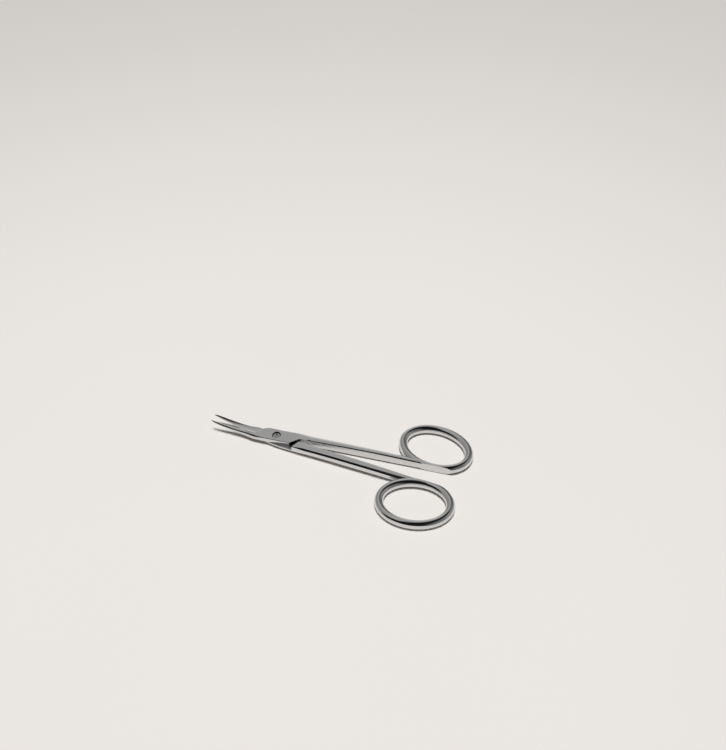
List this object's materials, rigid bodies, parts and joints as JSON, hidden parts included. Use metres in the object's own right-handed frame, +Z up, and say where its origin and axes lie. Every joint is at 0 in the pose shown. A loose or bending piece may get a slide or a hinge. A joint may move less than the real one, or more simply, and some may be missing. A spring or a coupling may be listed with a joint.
{
  "type": "curved nail scissors",
  "caption": "Small polished steel scissors with short upturned curved blades, slim shanks and oval finger rings, crossing on a slotted pivot screw.",
  "frame": {"origin": "on the pivot's axis, in the plane that the scissors lie on, at the centre of the screw tail's flat end", "axes": "+X from the pivot to the finger rings, tips towards -X, +Y to the upper half's ring, +Z up along the pivot's axis"},
  "size_m": [0.0896, 0.0444, 0.0046],
  "materials": {
    "upper_half_steel": "polished plate, bright, with finely ground inner flats",
    "lower_half_steel": "polished plate, bright, with finely ground inner flats",
    "screw_steel": "polished, with a dark slot"
  },
  "bodies": {
    "lower": {"lower_half": "lower_half_steel", "pivot_screw": "screw_steel"},
    "upper": {"upper_half": "upper_half_steel"}
  },
  "joints": [
    {"name": "pivot", "type": "hinge", "parent": "lower", "child": "upper", "pos_m": [0, 0, 0], "axis": [0, 0, 1], "range_deg": [-7.2, 62.8]}
  ]
}
